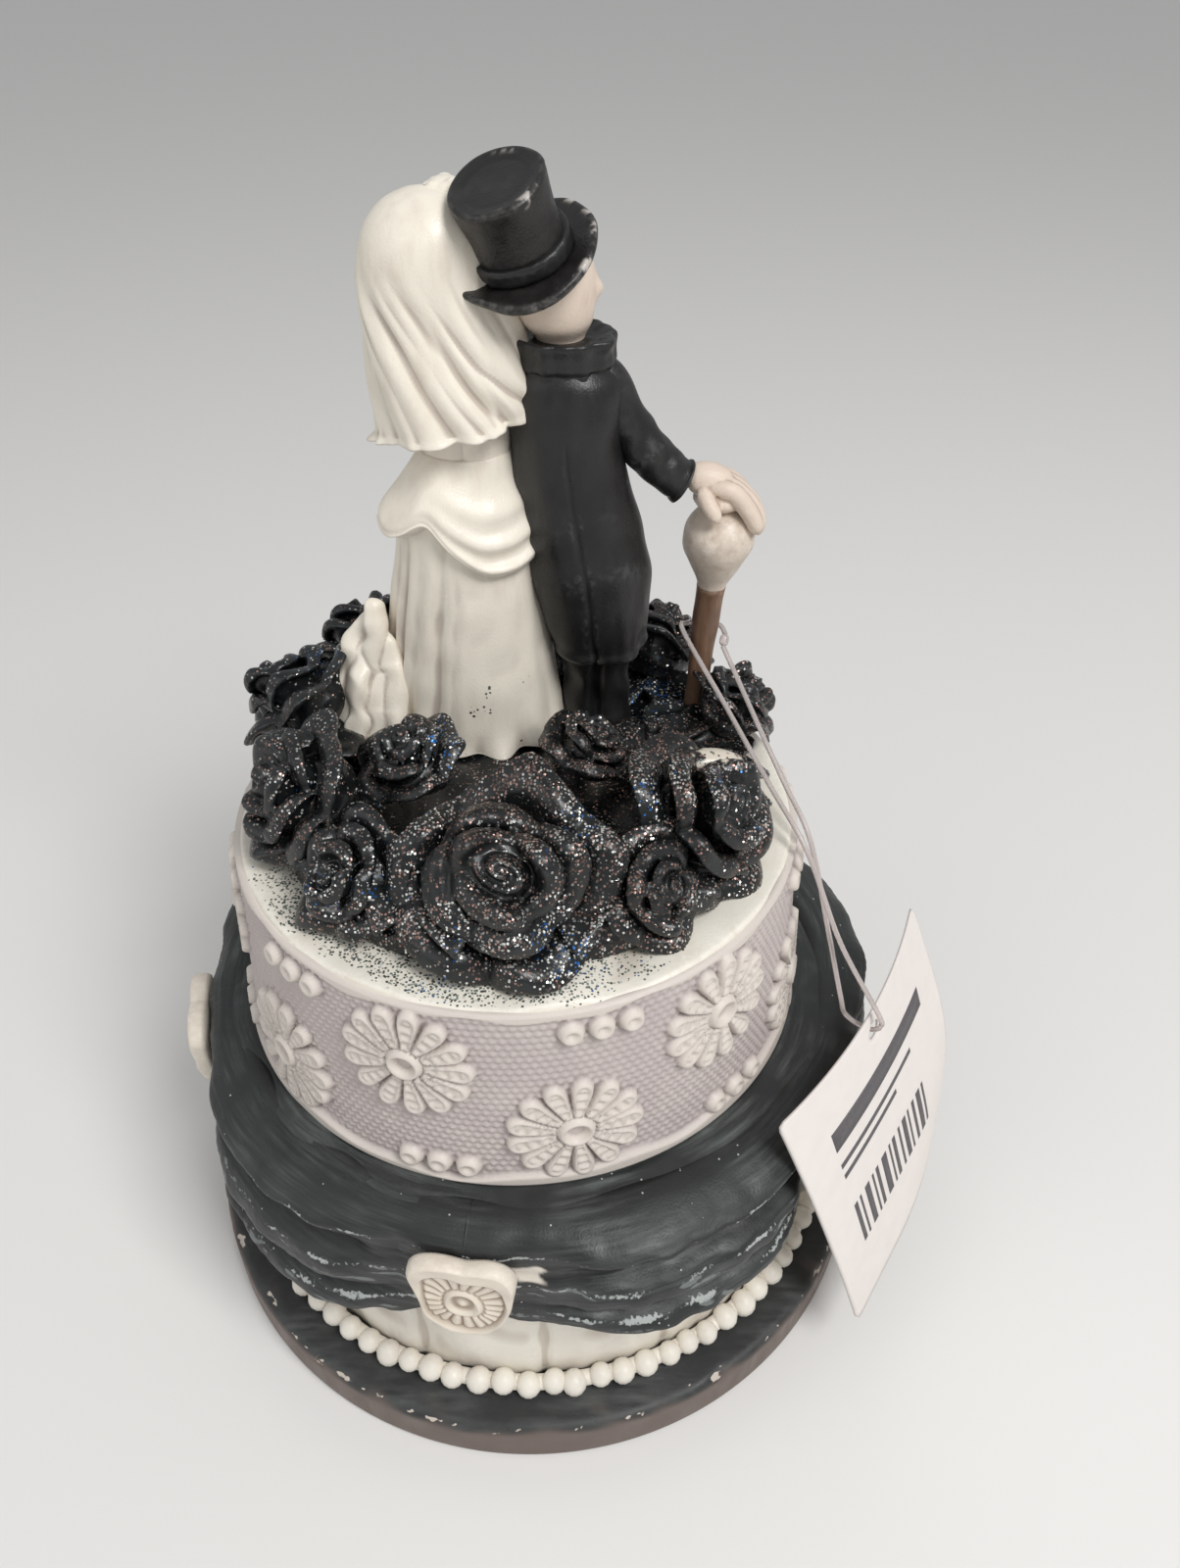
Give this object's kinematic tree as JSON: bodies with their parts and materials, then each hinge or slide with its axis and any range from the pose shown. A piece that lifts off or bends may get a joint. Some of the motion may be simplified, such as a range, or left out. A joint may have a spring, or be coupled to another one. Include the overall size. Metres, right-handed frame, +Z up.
{
  "type": "wedding cake topper",
  "caption": "Two-tier cake ornament of painted cast resin with swags, lace daisies and black roses, a bride and a top-hatted groom with cane on top, and a card tag hung on a loop.",
  "frame": {"origin": "centre of the board's underside", "axes": "+Z up; the couple looks towards +Y and the picture was taken from -Y; +X is the groom's cane side"},
  "size_m": [0.1279, 0.11, 0.161],
  "materials": {
    "slate_paint": "dry-brushed slate-black paint on cast resin",
    "ivory_paint": "satin ivory paint on cast resin",
    "gloss_black_paint": "gloss black paint with glitter on cast resin",
    "satin_black_paint": "satin black paint on cast resin",
    "bone_paint": "antiqued bone paint on cast resin",
    "walnut_paint": "satin brown paint on cast resin",
    "white_card": "smooth white tag card",
    "clear_plastic": "clear plastic thread"
  },
  "bodies": {
    "cake": {"base_board": "slate_paint", "lower_tier": "ivory_paint", "fondant_cover": "slate_paint", "pearl_border": "ivory_paint", "swag_1": "slate_paint", "brooch_1": "ivory_paint", "swag_2": "slate_paint", "brooch_2": "ivory_paint", "swag_3": "slate_paint", "brooch_3": "ivory_paint", "swag_4": "slate_paint", "brooch_4": "ivory_paint", "swag_5": "slate_paint", "brooch_5": "ivory_paint", "upper_tier": "ivory_paint", "lace_band": "ivory_paint", "hat_band": "satin_black_paint", "groom_coat": "satin_black_paint", "groom_legs": "satin_black_paint", "groom_head": "bone_paint", "groom_collar": "satin_black_paint", "groom_right_arm": "satin_black_paint", "groom_right_hand": "bone_paint", "groom_left_arm": "satin_black_paint", "groom_left_hand": "bone_paint", "groom_shirt": "ivory_paint", "groom_bow_tie": "satin_black_paint", "groom_hat": "satin_black_paint", "bride_skirt": "ivory_paint", "bride_bustle": "ivory_paint", "bride_bodice": "ivory_paint", "bride_arms": "bone_paint", "bride_bouquet": "gloss_black_paint", "bride_head": "bone_paint", "bride_veil": "ivory_paint", "bride_hairpiece": "ivory_paint", "bride_train": "ivory_paint", "cane_shaft": "walnut_paint", "cane_knob": "bone_paint", "rose_bed": "gloss_black_paint", "rose_1": "gloss_black_paint", "rose_2": "gloss_black_paint", "rose_3": "gloss_black_paint", "rose_4": "gloss_black_paint", "rose_5": "gloss_black_paint", "rose_6": "gloss_black_paint", "rose_7": "gloss_black_paint", "rose_8": "gloss_black_paint", "rose_9": "gloss_black_paint", "rose_10": "gloss_black_paint", "rose_11": "gloss_black_paint", "rose_12": "gloss_black_paint", "rose_13": "gloss_black_paint", "tag_loop": "clear_plastic"},
    "tag": {"hang_tag": "white_card"}
  },
  "joints": [
    {"name": "tag_lift", "type": "hinge", "parent": "cake", "child": "tag", "pos_m": [0.04785, -0.02226, 0.05831], "axis": [-0.5948, -0.8039, 0], "range_deg": [0, 50]}
  ]
}
